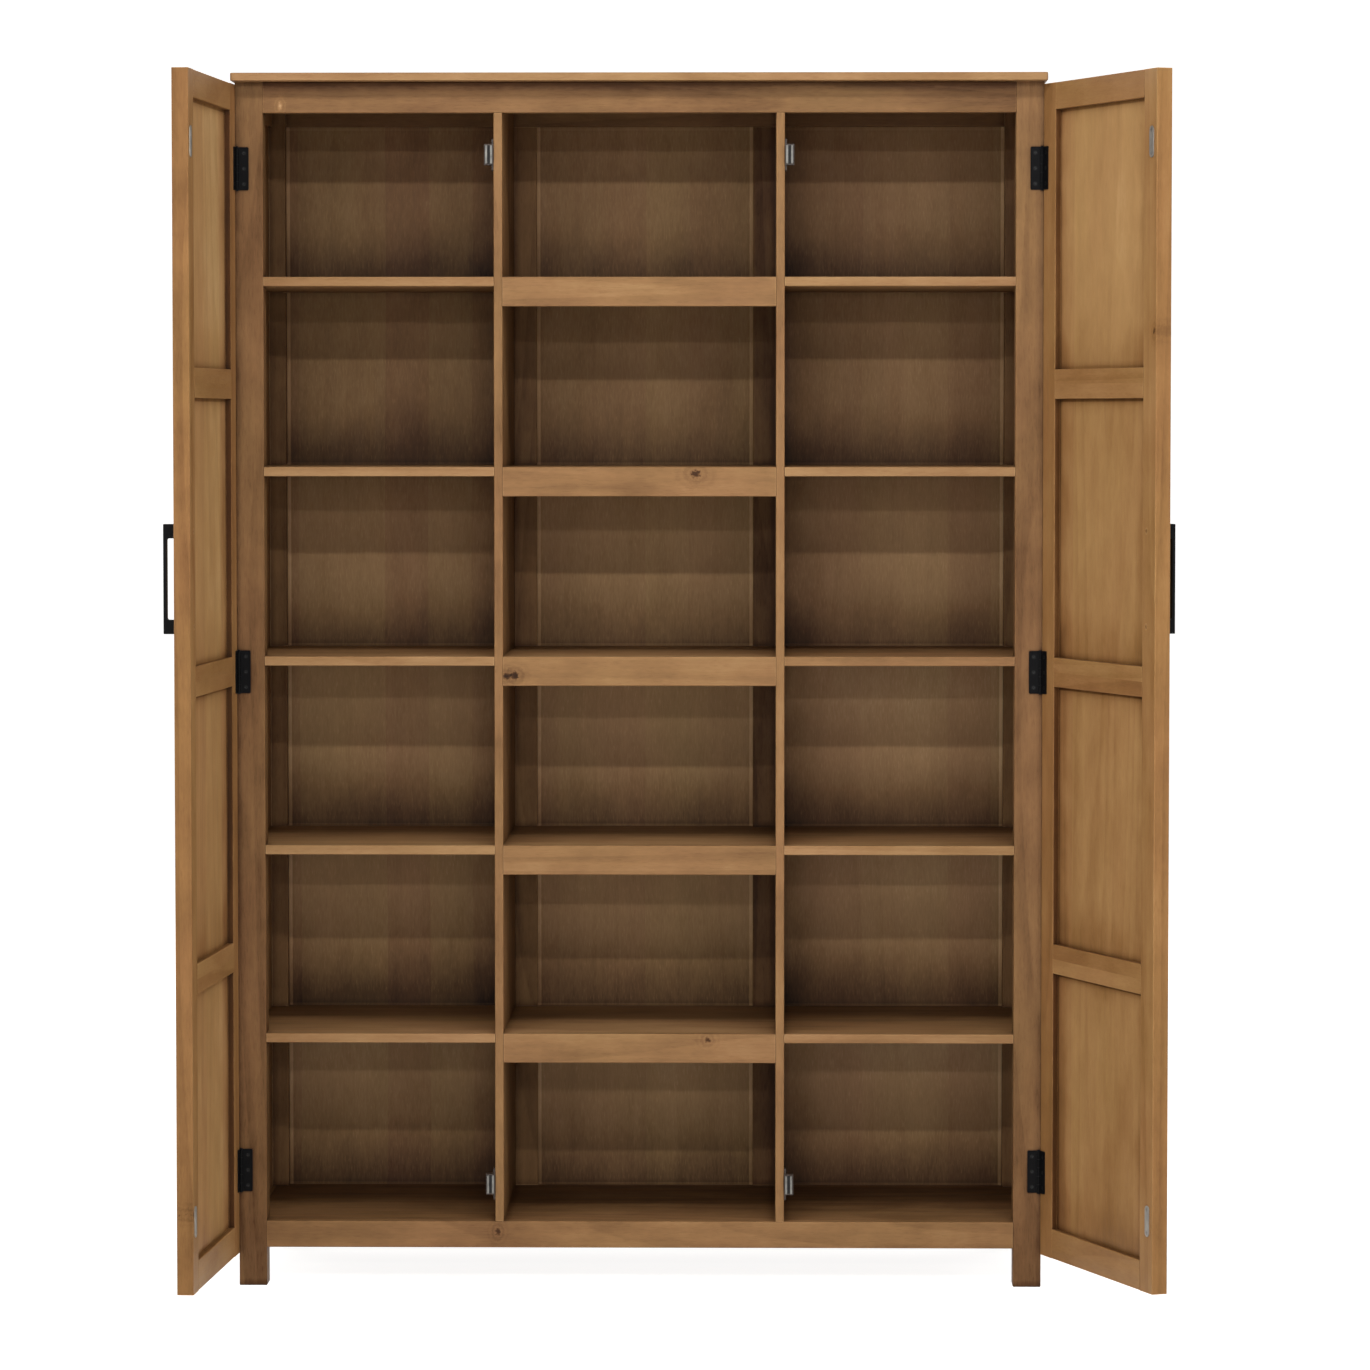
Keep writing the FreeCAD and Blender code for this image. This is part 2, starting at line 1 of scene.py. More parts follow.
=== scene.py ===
# %% [markdown]
# A tall cabinet with its doors open
# The cabinet is post-and-rail joinery in stained wood: three bays of shelves, and a framed door on
# each outer bay. Every board and every piece of hardware is already a solid of its own in the
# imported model, in metres and in its true place. The pieces could be modelled again here, but the
# solids are exact, so none is moved or changed. Only the looks are made around them: wood that
# follows each board's grain, black coated hinges and pulls, steel catches, and plain studio light.

import json
import math

import bpy
import numpy as np
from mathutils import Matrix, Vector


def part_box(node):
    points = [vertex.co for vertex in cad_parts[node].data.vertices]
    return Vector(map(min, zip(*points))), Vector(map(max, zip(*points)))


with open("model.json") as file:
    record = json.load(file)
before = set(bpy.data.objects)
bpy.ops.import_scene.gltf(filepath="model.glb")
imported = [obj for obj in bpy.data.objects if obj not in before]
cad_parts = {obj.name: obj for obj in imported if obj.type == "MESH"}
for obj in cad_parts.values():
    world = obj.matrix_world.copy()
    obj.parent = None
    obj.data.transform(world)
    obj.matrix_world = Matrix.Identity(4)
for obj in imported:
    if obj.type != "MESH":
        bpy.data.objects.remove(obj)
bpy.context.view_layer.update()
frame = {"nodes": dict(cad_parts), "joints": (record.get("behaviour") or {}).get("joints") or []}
nodes = frame["nodes"]
print("boards and fittings:", len(nodes))

# %% [markdown]
# The camera
# The photograph was taken from about eight metres in front of the cabinet with a long lens, a
# little right of the middle, at the height of a person's chest and tipped down by about three
# degrees. A camera could be set by eye. Here its lens, place and tilt were solved from the edges of
# the carcass, so that the render can be laid over the photograph.

# %% Camera
camera_place = (0.1868, -8.0801, 1.3042)
camera_dip = 2.883
camera_turn = 0.861
lens_length = 138.243
sensor_width = 36.0

lens = bpy.data.cameras.new("viewpoint")
lens.lens = lens_length
lens.sensor_width = sensor_width
viewpoint = bpy.data.objects.new("viewpoint", lens)
viewpoint.location = camera_place
viewpoint.rotation_euler = (math.radians(90 - camera_dip), 0, math.radians(camera_turn))
bpy.context.scene.collection.objects.link(viewpoint)
bpy.context.scene.camera = viewpoint
bpy.context.scene.view_settings.view_transform = "Standard"
print("camera at", camera_place)

# %% [markdown]
# Small helpers for finishes
# A finish is a recipe of shader nodes. It could be wired by hand in the editor, but written out,
# with one line for each node, it can be read and changed: a helper adds a node, fills or links its
# sockets and hands back one output, which goes straight into the next line. Colours are written as
# they look on screen and turned into the linear light that the shader works in.

# %% Nodes
def light_of(red, green, blue):
    """A screen colour (0 to 255) as linear light: each channel follows the sRGB curve."""
    shown = np.array([red, green, blue]) / 255
    linear = np.where(shown <= 0.04045, shown / 12.92, ((shown + 0.055) / 1.055) ** 2.4)
    return (*linear.tolist(), 1.0)


def add(tree, kind, sockets, out=0, **options):
    """Adds a node, sets its options, links or fills its sockets, and returns one of its outputs."""
    made = tree.nodes.new("ShaderNode" + kind)
    for option, value in options.items():
        setattr(made, option, value)
    for socket, value in sockets.items():
        if isinstance(value, bpy.types.NodeSocket):
            tree.links.new(value, made.inputs[socket])
        else:
            made.inputs[socket].default_value = value
    return made.outputs[out]


def maths(tree, operation, first, second=0.0):
    """One operation on two numbers, such as their product."""
    return add(tree, "Math", {0: first, 1: second}, operation=operation)


def total(tree, first, *others):
    """The sum of any number of values."""
    for other in others:
        first = maths(tree, "ADD", first, other)
    return first


def times(tree, value, amount):
    """A value times an amount, which makes it stronger or weaker."""
    return maths(tree, "MULTIPLY", value, amount)


def vectors(tree, operation, first, second):
    """One operation on two vectors, coordinate by coordinate."""
    return add(tree, "VectorMath", {0: first, 1: second}, operation=operation)


def along(tree, point, axis):
    """One coordinate of a point."""
    return add(tree, "SeparateXYZ", {0: point}, axis.upper())


print("middle grey as light:", round(light_of(128, 128, 128)[0], 3))

# %% Slopes, noise and lots
def remap(tree, value, low, high, to_low=0.0, to_high=1.0):
    """Slides a value from one range to another in a smooth S, and holds it at the ends."""
    sockets = {"Value": value, "From Min": low, "From Max": high, "To Min": to_low,
               "To Max": to_high}
    return add(tree, "MapRange", sockets, interpolation_type="SMOOTHSTEP")


def noise(tree, point, scale, detail=2.0, roughness=0.5):
    """Soft noise less one half, so about zero, with so many waves to the metre."""
    sockets = {"Vector": point, "Scale": scale, "Detail": detail, "Roughness": roughness}
    return maths(tree, "SUBTRACT", add(tree, "TexNoise", sockets), 0.5)


def lot(tree, number, seed):
    """A number drawn by lot for each whole number, from -0.5 to 0.5, the same on every run."""
    drawn = add(tree, "TexWhiteNoise", {"W": maths(tree, "ADD", number, seed)},
                noise_dimensions="1D")
    return maths(tree, "SUBTRACT", drawn, 0.5)


print("lots run from -0.5 to 0.5")

# %% Materials
def ramp(tree, factor, stops):
    """Colours along a line: each stop is a place from 0 to 1 and a screen colour."""
    made = tree.nodes.new("ShaderNodeValToRGB")
    keys = made.color_ramp.elements
    for index, (place, colour) in enumerate(stops):
        key = keys[index] if index < 2 else keys.new(place)
        key.position = place
        key.color = light_of(*colour)
    tree.links.new(factor, made.inputs[0])
    return made.outputs[0]


def begin_finish(name, specular):
    """A new material with its node tree and its one shader, which mirrors so much at its face."""
    finish = bpy.data.materials.new(name)
    finish.use_nodes = True
    shader = finish.node_tree.nodes["Principled BSDF"]
    shader.inputs["Specular IOR Level"].default_value = specular
    return finish, finish.node_tree, shader


def feed(tree, shader, **sockets):
    """Links or fills the shader's sockets. Words in a name are joined with underscores."""
    for name, value in sockets.items():
        socket = shader.inputs[name.replace("_", " ")]
        if isinstance(value, bpy.types.NodeSocket):
            tree.links.new(value, socket)
        else:
            socket.default_value = value


def dress(names, finish):
    """Gives the named pieces one finish."""
    for name in names:
        nodes[name].data.materials.clear()
        nodes[name].data.materials.append(finish)


print("pieces to finish:", len(nodes))

# %% [markdown]
# Floor and backdrop
# A studio sweep is one sheet that runs along the floor and curves up behind. A flat floor would
# show a line where it ends, so the sheet bends instead. Its profile is a floor line, a quarter turn
# and a wall line, and carrying that profile along X gives the sheet. It looks white to the camera
# and in reflections, yet throws back only part of the light, as a studio floor does beyond the lit
# patch. The cabinet's shadow stays on it.

# %% Studio sweep
sweep_half_width = 30.0
sweep_front = -30.0
sweep_back = 8.0
sweep_bend = 4.0
sweep_height = 20.0
sweep_colour = (232, 230, 227)
sweep_glow = 0.86


def sheet_mesh(name, points):
    """A mesh from a grid of points (rows, columns, 3): neighbours in both directions share a
    four-sided face."""
    rows, columns = points.shape[:2]
    place = np.arange(rows * columns).reshape(rows, columns)
    corners = (place[:-1, :-1], place[:-1, 1:], place[1:, 1:], place[1:, :-1])
    faces = np.stack([corner.ravel() for corner in corners], axis=1)
    mesh = bpy.data.meshes.new(name)
    mesh.from_pydata(points.reshape(-1, 3).tolist(), [], faces.tolist())
    mesh.shade_smooth()
    made = bpy.data.objects.new(name, mesh)
    bpy.context.scene.collection.objects.link(made)
    return made


def sweep_points(steps=24):
    """The profile in Y and Z is a floor line, a quarter circle of the bend's radius and an upright
    line; every column of the grid repeats it at another X."""
    angle = np.linspace(0, math.pi / 2, steps)
    wall = sweep_back + sweep_bend
    y = np.concatenate([[sweep_front], sweep_back + sweep_bend * np.sin(angle), [wall]])
    z = np.concatenate([[0.0], sweep_bend * (1 - np.cos(angle)), [sweep_height]])
    x = np.array([-sweep_half_width, 0.0, sweep_half_width])
    grid = np.empty((len(y), len(x), 3))
    grid[:, :, 0] = x[None, :]
    grid[:, :, 1] = y[:, None]
    grid[:, :, 2] = z[:, None]
    return grid


def studio_white():
    """A pale matt sheet. Rays from the camera, a reflection or a glass also see it glow, which
    lifts it to white and keeps its shadows."""
    finish, tree, shader = begin_finish("studio_white", 0.0)
    path = tree.nodes.new("ShaderNodeLightPath").outputs
    seen = path["Is Camera Ray"]
    for ray in ("Is Glossy Ray", "Is Transmission Ray"):
        seen = maths(tree, "MAXIMUM", seen, path[ray])
    feed(tree, shader, Base_Color=light_of(*sweep_colour), Roughness=0.9)
    feed(tree, shader, Emission_Color=(1, 1, 1, 1))
    feed(tree, shader, Emission_Strength=times(tree, seen, sweep_glow))
    return finish


sweep = sheet_mesh("studio_sweep", sweep_points())
sweep.data.materials.append(studio_white())
print("sweep is", 2 * sweep_half_width, "m wide")

# %% [markdown]
# Light
# The photograph looks lit by rows of ceiling lamps in a pale hall. One large soft lamp would be
# simpler, but the level shadow edges inside the bays would be lost. They say where the rows hang:
# on the back panels each shelf throws one edge from a row 5.7 m in front and a fainter one from a
# row 10.5 m away, and the edge under the top comes from a broad row that hangs nearer and higher.
# A row is a long lamp parallel to the shelves. A panel on the floor throws light up under the
# lower shelves, as a bright floor does, and large soft panels stand in for the pale walls, all
# round, so that no side is dark.

# %% World and lamps
hall_glow = 0.16
lit_height = 0.95
wall_powers = {-57: 40, 57: 40, -135: 90, 135: 90}

room = bpy.data.worlds.new("pale_hall")
room.use_nodes = True
background = room.node_tree.nodes["Background"].inputs
background["Color"].default_value = (1.0, 1.0, 1.0, 1.0)
background["Strength"].default_value = hall_glow
bpy.context.scene.world = room


def flat_lamp(name, bearing, distance, height, width, depth, power, aim=lit_height):
    """A flat lamp at a bearing from the front (degrees, to the right). It tips by the angle whose
    tangent is its distance over its height above the aim, a height at the cabinet's middle."""
    light = bpy.data.lights.new(name, "AREA")
    light.shape = "RECTANGLE"
    light.size = width
    light.size_y = depth
    light.energy = power
    made = bpy.data.objects.new(name, light)
    turn = math.radians(bearing)
    made.location = (distance * math.sin(turn), -distance * math.cos(turn), height)
    made.rotation_euler = (math.atan2(distance, height - aim), 0, turn)
    made.visible_camera = False
    bpy.context.scene.collection.objects.link(made)


flat_lamp("main_row", 0, distance=5.70, height=3.01, width=6.0, depth=0.09, power=90)
flat_lamp("far_row", 0, distance=10.50, height=2.78, width=8.0, depth=0.12, power=96)
flat_lamp("overhead_row", 0, distance=2.87, height=3.93, width=8.0, depth=0.50, power=140)
flat_lamp("front_wall", 0, distance=9.00, height=1.50, width=8.0, depth=2.40, power=90)
flat_lamp("floor_panel", 0, distance=2.00, height=0.06, width=3.0, depth=1.60, power=14, aim=20.0)
for wall_bearing, wall_power in wall_powers.items():
    flat_lamp("side_wall", wall_bearing, distance=6.0, height=1.50, width=4.0, depth=2.40,
              power=wall_power)
print("lamps:", len(bpy.data.lights))

# %% [markdown]
# Stained wood
# Each board is solid wood with a brown stain rubbed in and a satin coat. Its look has layers:
# growth rings, finer streaks, short pores, and cloudy patches where the stain took up more. A
# picture of wood could be wrapped round each board, but it would break at the edges. Here the
# pattern is solid and runs through the board: noise read from the board's own place, squeezed
# along the grain, so a board's grain direction is all that has to be said. Outer edges are paler,
# partly rubbed by use and partly painted highlight where eased edges catch the light. Inner
# corners are darker, partly stain gathered there and partly painted shade.

# %% Where a point lies on its board
GRAIN_AXES = {"x": 0, "y": 1, "z": 2}


def board_point(tree, door=None):
    """The place on the board, in metres. On a door, X runs from the hinge line to the free edge
    and Y through it: the place is turned and then shifted."""
    point = add(tree, "TexCoord", {}, "Object")
    if door is None:
        return point
    turn, shift = door
    return add(tree, "Mapping", {"Vector": point, "Rotation": (0, 0, turn), "Location": shift})


def board_facing(tree, axis, door=None):
    """How far the surface faces along one of the board's axes, from -1 to 1."""
    facing = add(tree, "TexCoord", {}, "Normal")
    if door is not None:
        sockets = {"Vector": facing, "Rotation": (0, 0, door[0])}
        facing = add(tree, "Mapping", sockets, vector_type="VECTOR")
    return along(tree, facing, axis)


def stack_count(tree, point, boards):
    """Which board of a stack along Z a point lies on: its height over the stack's step, rounded
    down."""
    start, step = boards
    height = maths(tree, "SUBTRACT", along(tree, point, "z"), start)
    return maths(tree, "FLOOR", maths(tree, "DIVIDE", height, step))


def own_place(tree, point, seed, count=None):
    """Shifts the pattern by a multiple of the seed, and of the count in a stack, so that each
    board has its own piece of the log."""
    shifted = vectors(tree, "ADD", point, (seed * 1.37, seed * 2.11, seed * 0.73))
    if count is None:
        return shifted
    jumps = {axis: times(tree, count, step) for axis, step in enumerate((3.1, 1.7, 2.3))}
    return vectors(tree, "ADD", shifted, add(tree, "CombineXYZ", jumps))


def drawn_out(tree, place, grain, squeeze):
    """The place with its length along the grain squeezed, so that noise draws out into fibres."""
    scale = [1.0, 1.0, 1.0]
    scale[GRAIN_AXES[grain]] = squeeze
    return vectors(tree, "MULTIPLY", place, tuple(scale))


print("grain directions:", list(GRAIN_AXES))

# %% Rings, pores and knots
def growth_rings(tree, fibre):
    """Dark late wood at the end of each ring, from 0 to 1: a slow noise is cut into equal steps of
    height, and within a step the tone darkens slowly and then jumps back."""
    hills = noise(tree, fibre, 5.0, 1.5, 0.4)
    ring = maths(tree, "FRACT", times(tree, hills, 16.0))
    slow_rise = remap(tree, ring, 0.35, 0.92)
    quick_fall = remap(tree, ring, 1.0, 0.93)
    return maths(tree, "MULTIPLY", slow_rise, quick_fall)


def pore_marks(tree, place, grain):
    """Short pores, from 0 to 1: the peaks of a fine noise drawn out along the grain."""
    fine = noise(tree, drawn_out(tree, place, grain, 0.09), 900.0, 1.0)
    return remap(tree, fine, 0.07, 0.20)


def knot_marks(tree, point, knots):
    """Uneven spots inside a few wavering rings. A knot is a middle, half sizes along X and Z, and
    a depth, which is below zero for a pale nick. The reach is the distance from the middle in half
    sizes, and the core, halo and rings fade with it."""
    marks = []
    waver = times(tree, noise(tree, point, 230.0, 3.0, 0.6), 2.0)
    for middle, half_x, half_z, depth in knots:
        away = vectors(tree, "SUBTRACT", point, middle)
        away = vectors(tree, "MULTIPLY", away, (1 / half_x, 0.0, 1 / half_z))
        distance = add(tree, "VectorMath", {0: away}, "Value", operation="LENGTH")
        reach = maths(tree, "ADD", distance, waver)
        core = times(tree, remap(tree, reach, 0.20, 1.25, 1.0, 0.0), depth)
        halo = times(tree, remap(tree, reach, 0.8, 4.5, 1.0, 0.0), depth * 0.18)
        rings = times(tree, maths(tree, "SINE", times(tree, reach, 4.2)), 0.03)
        swirl = maths(tree, "MULTIPLY", rings, remap(tree, reach, 1.0, 5.0, 1.0, 0.0))
        marks += [core, halo, swirl]
    return total(tree, *marks)


print("layers along the grain: rings, pores, knots")

# %% Strips, edges and corners
def strip_number(tree, point, axis, width):
    """Glued-up strips of one width: the place across them over the width, rounded down, with
    joints that wander a little."""
    drift = times(tree, noise(tree, point, 0.9, 1.0), width * 0.2)
    place = maths(tree, "ADD", along(tree, point, axis), drift)
    return maths(tree, "FLOOR", maths(tree, "DIVIDE", place, width))


def edge_wear_and_highlight(tree, radius=0.003):
    """1 along outer edges and 0 on flats: how far a rounded-over normal leans from the true one.
    The paler edges it drives are partly rubbed by use and partly painted highlight.
    """
    rounded = add(tree, "Bevel", {"Radius": radius}, samples=6)
    true = add(tree, "NewGeometry", {}, "Normal")
    facing = add(tree, "VectorMath", {0: rounded, 1: true}, "Value", operation="DOT_PRODUCT")
    return remap(tree, facing, 0.99, 0.8)


def corner_stain_and_shade(tree, distance=0.012):
    """1 deep in a corner and 0 in the open: one less the open share. The darkness it drives is
    partly stain gathered in corners and partly painted shade.
    """
    open_share = add(tree, "AmbientOcclusion", {"Distance": distance}, "AO", samples=6)
    return maths(tree, "SUBTRACT", 1.0, open_share)


print("layers by place: strips, edges, corners")

# %% [markdown]
# One recipe for every board
# The boards of a cabinet look alike because they were stained together. Each could have its own
# recipe, but one recipe with a few settings keeps them a family, and the stains of the frame, the
# backs and the doors differ only a little. All the layers are added into one number, the tone, with
# the plain board at one half. The stain's colours follow from the tone, so a darker spot is also
# redder, as stain is. A slow drift of hue keeps wide boards from looking printed. Some of the
# layers also lift the fibres in the bump and change the sheen.

# %% Stains and grain
STAIN_STEPS = (0.0, 0.25, 0.5, 0.75, 1.0)
FRAME_STAIN = ((22, 12, 6), (76, 48, 25), (142, 106, 69), (182, 146, 104), (224, 190, 146))
BACK_STAIN = ((40, 24, 13), (92, 65, 41), (138, 105, 70), (174, 138, 98), (210, 176, 134))
DOOR_STAIN = ((24, 12, 5), (80, 49, 22), (144, 104, 62), (184, 144, 95), (226, 189, 141))


def grain_layers(tree, place, grain, figure):
    """Rings and broad fibres, as strong as the figure says, and two clouds of stain, one round and
    one drawn out a little."""
    fibre = drawn_out(tree, place, grain, 0.08)
    return [
        times(tree, growth_rings(tree, fibre), -0.06 * figure),
        times(tree, noise(tree, fibre, 16.0, 4.0, 0.6), 0.26 * figure),
        times(tree, noise(tree, place, 6.0, 3.0), 0.13),
        times(tree, noise(tree, drawn_out(tree, place, grain, 0.45), 30.0, 3.0, 0.6), 0.17),
    ]


print("stains of the frame, the backs and the doors, each of", len(STAIN_STEPS), "colours")

# %% The wood itself
def stained_wood(name, stain, grain, seed, tone=0.0, figure=0.7, wear=0.13, flecks=0.03,
                 drift=0.016, door=None, boards=None, strips=None, knots=(), painted_light_and_shade=()):
    """Stained wood: tone is the sum of all layers about one half, and the stain's colours follow
    from tone. figure is the strength of the grain, the setting after it that of the paler edges,
    which are partly rubbed by use and partly painted highlight, flecks the darkness of the pores
    (below zero they are pale) and drift that of the hue. The last list holds functions of tree,
    point and place that add this board's painted shade and painted light, and on the door panels
    also toned stain at the rims."""
    finish, tree, shader = begin_finish(name, 0.12)
    point = board_point(tree, door)
    count = stack_count(tree, point, boards) if boards else None
    place = own_place(tree, point, seed, count)
    streaks = noise(tree, drawn_out(tree, place, grain, 0.03), 120.0, 3.0, 0.6)
    specks = noise(tree, drawn_out(tree, place, grain, 0.2), 330.0, 2.0)
    pores = pore_marks(tree, place, grain)
    edges = edge_wear_and_highlight(tree)
    layers = grain_layers(tree, place, grain, figure) + [
        times(tree, streaks, 0.14 * figure),
        times(tree, specks, flecks * 2),
        times(tree, pores, -flecks),
        # Paler edges, partly rubbed by use and partly painted highlight; darker inner corners,
        # partly stain and partly painted shade.
        times(tree, edges, wear),
        times(tree, corner_stain_and_shade(tree), -0.24),
    ]
    hue = noise(tree, drawn_out(tree, place, grain, 0.4), 9.0, 2.0)
    if count is not None:
        layers.append(times(tree, lot(tree, count, seed * 3.7), 0.07))
    if strips is not None:
        strip = lot(tree, strip_number(tree, point, *strips), seed * 7.3)
        layers.append(times(tree, strip, 0.05))
        hue = maths(tree, "ADD", hue, times(tree, strip, 0.5))
    if knots:
        layers.append(times(tree, knot_marks(tree, point, knots), -1.0))
    # This board's painted shade and painted light, added to the tone.
    layers += [shade(tree, point, place) for shade in painted_light_and_shade]
    colour = ramp(tree, total(tree, *layers, 0.5 + tone), list(zip(STAIN_STEPS, stain)))
    hue = total(tree, times(tree, hue, drift), 0.5)
    colour = add(tree, "HueSaturation", {"Hue": hue, "Color": colour})
    relief = total(tree, streaks, times(tree, pores, -0.8))
    normal = add(tree, "Bump", {"Strength": 0.3, "Distance": 0.0004, "Height": relief})
    sheen = total(tree, times(tree, streaks, 0.25), times(tree, edges, -0.06), 0.52)
    feed(tree, shader, Base_Color=colour, Roughness=sheen, Normal=normal)
    return finish


print("tones of the stain's colours:", STAIN_STEPS)

# %% [markdown]
# Painted shade and light
# Deep in the bays the wood looks darker than the lamps alone leave it: most where shelves meet the
# back, and also on the shelf tops, beside the dividers, under the top's overhang, inside the back
# frame and at the feet. Some places look paler than the lamps leave them: the middle rows, the
# backs under the lower shelves, and thin lines where a back panel meets its frame or a shelf. Such
# shades could be painted on each board by hand. Here this shade and light are painted into the
# stain: each is a short function of the place with an edge that wavers, and a board lists the ones
# that it carries. Heights and edges come from the boards themselves.

# %% Measures of the back
floor_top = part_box("floor_board")[1].z
shelf_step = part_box("centre_rail_1")[1].z - floor_top
shelf_rows = (floor_top - 0.5 * shelf_step, shelf_step)
post_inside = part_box("rear_right_post")[0].x
muntin_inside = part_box("right_back_muntin")[0].x
muntin_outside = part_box("right_back_muntin")[1].x
back_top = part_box("rear_top_rail")[0].z


def within(tree, value, middle, half, amount):
    """So much near a middle value, fading out between 0.6 and 1.2 of the half width."""
    away = maths(tree, "ABSOLUTE", maths(tree, "SUBTRACT", value, middle))
    return remap(tree, away, 0.6 * half, 1.2 * half, amount, 0.0)


def inner_face(tree, *shades):
    """The sum of the painted shades and lights, kept to the face that looks into the cabinet."""
    inwards = remap(tree, board_facing(tree, "y"), -0.3, -0.7)
    return maths(tree, "MULTIPLY", total(tree, *shades), inwards)


def above_floor(tree, point):
    """The height of a point above the floor board, and its height above the next shelf below,
    which is what is left over after whole shelf steps."""
    height = maths(tree, "SUBTRACT", along(tree, point, "z"), floor_top)
    return height, maths(tree, "FLOORED_MODULO", height, shelf_step)


print("shelf step:", round(shelf_step, 4))

# %% Painted shade and light from shelf to shelf
def painted_shade_above_shelves(depth):
    """The painted shade above each shelf of one panel, so deep at the shelf."""
    def shade(tree, point, place):
        """Painted shade above each shelf, fading over 110 mm with an uneven edge, and a painted
        highlight as a pale line at the shelf."""
        _, rise = above_floor(tree, point)
        uneven = maths(tree, "ADD", rise, times(tree, noise(tree, place, 9.0, 1.0), 0.04))
        line = within(tree, rise, 0.0, 0.004, 0.14)
        return inner_face(tree, line, remap(tree, uneven, -0.02, 0.11, -depth, 0.0))
    return shade


def painted_light_under_shelves(tree, point, place):
    """Painted light: paler towards the shelf above, more so from row to row going down, and close
    under the top."""
    height, rise = above_floor(tree, point)
    upwards = remap(tree, rise, 0.15 * shelf_step, 0.95 * shelf_step, 0.0, 0.31)
    lower = remap(tree, height, 4.5 * shelf_step, 0.5 * shelf_step)
    topmost = remap(tree, height, 5.75 * shelf_step, 6.0 * shelf_step, 0.0, 0.14)
    return inner_face(tree, topmost, maths(tree, "MULTIPLY", upwards, lower))


def painted_light_middle_rows(tree, point, place):
    """Painted light: paler in the two middle rows."""
    height, _ = above_floor(tree, point)
    return inner_face(tree, within(tree, height, 3 * shelf_step, shelf_step, 0.09))


print("middle rows meet at", round(floor_top + 3 * shelf_step, 3), "m")

# %% Painted shade and light from side to side
line_half = 0.003


def painted_shade_by_dividers(tree, point, place):
    """Painted shade beside the dividers: darker over the last 70 mm before a muntin, with an uneven
    edge.
    """
    sideways = maths(tree, "ABSOLUTE", along(tree, point, "x"))
    away = maths(tree, "SUBTRACT", sideways, muntin_outside)
    uneven = maths(tree, "ADD", away, times(tree, noise(tree, place, 12.0, 2.0), 0.04))
    return inner_face(tree, remap(tree, uneven, 0.0, 0.07, -0.19, 0.0))


def painted_highlight_lines(tree, point, place):
    """Painted highlight: a paler line of twice the half width, beside the posts and muntins and
    under the top rail.
    """
    sideways = maths(tree, "ABSOLUTE", along(tree, point, "x"))
    beside_post = within(tree, sideways, post_inside - line_half, line_half, 0.28)
    beside_muntin = within(tree, sideways, muntin_inside - line_half, line_half, 0.24)
    under_rail = within(tree, along(tree, point, "z"), back_top - line_half, line_half, 0.08)
    return inner_face(tree, beside_post, beside_muntin, under_rail)


print("back panels end under the rail at", round(back_top, 3), "m")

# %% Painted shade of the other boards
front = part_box("front_left_post")[0].y
under_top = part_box("top_board")[0].z


def painted_overhang_shadow(tree, point, place):
    """Painted shadow of the top board's overhang: darker over the first 18 mm under the top board,
    most over the first 9 mm.
    """
    drop = maths(tree, "SUBTRACT", under_top, along(tree, point, "z"))
    return remap(tree, drop, 0.009, 0.018, -0.08, 0.0)


def painted_shade_inside(depth):
    """The painted shade of one board of the back frame, so deep."""
    def shade(tree, point, place):
        """Painted shade: darker on the face that looks into the cabinet."""
        return inner_face(tree, -depth)
    return shade


def painted_shade_towards_back(tree, point, place):
    """Painted shade: darker the deeper into the cabinet, with an uneven edge."""
    uneven = times(tree, noise(tree, place, 9.0, 2.0), 0.10)
    depth = maths(tree, "ADD", along(tree, point, "y"), uneven)
    return times(tree, remap(tree, depth, -0.20, 0.06), -0.13)


def painted_shade_at_feet(tree, point, place):
    """Painted shade: darker over the last 200 mm above the floor."""
    return times(tree, remap(tree, along(tree, point, "z"), 0.20, 0.0), -0.05)


print("front plane:", round(front, 4))

# %% [markdown]
# Carcass boards
# Posts, dividers and muntins stand, so their grain stands too. Rails, shelves, floor and top lie
# along the front, and the side rails run from front to back. One finish for all of them would run
# across the grain somewhere, so each board gets its own, from the one recipe. A few boards carry
# the knots that the wood came with, and the top rail a pale nick.

# %% Boards and their grain
upright = ("front_left_post", "front_right_post", "rear_left_post", "rear_right_post",
           "left_divider", "right_divider", "left_back_muntin", "right_back_muntin")
across = ("top_board", "front_top_rail", "front_bottom_rail", "rear_top_rail", "rear_bottom_rail",
          "floor_board", "centre_rail_1", "centre_rail_2", "centre_rail_3", "centre_rail_4",
          "centre_rail_5")
deep = ("left_side_top_rail", "left_side_bottom_rail", "right_side_top_rail",
        "right_side_bottom_rail")
knots_of = {
    "front_top_rail": [((-0.5361, front, 1.7722), 0.0030, 0.0050, -0.30)],
    "centre_rail_4": [((0.0847, front, 1.2237), 0.0085, 0.0065, 0.26)],
    "centre_rail_3": [((-0.1985, front, 0.9205), 0.0080, 0.0050, 0.24),
                      ((-0.1870, front, 0.9215), 0.0065, 0.0060, 0.24)],
    "centre_rail_1": [((0.1028, front, 0.3731), 0.0050, 0.0050, 0.20)],
    "front_bottom_rail": [((-0.2137, front, 0.0818), 0.0045, 0.0060, 0.22)],
}
tones_of = {
    "top_board": 0.05, "front_top_rail": -0.08, "front_bottom_rail": -0.03,
    "rear_top_rail": -0.08, "rear_bottom_rail": -0.08, "floor_board": -0.06,
    "front_left_post": -0.10, "front_right_post": -0.08, "rear_left_post": -0.07,
    "rear_right_post": -0.07, "left_divider": -0.03, "right_divider": -0.03,
    "left_back_muntin": -0.05, "right_back_muntin": -0.05,
}
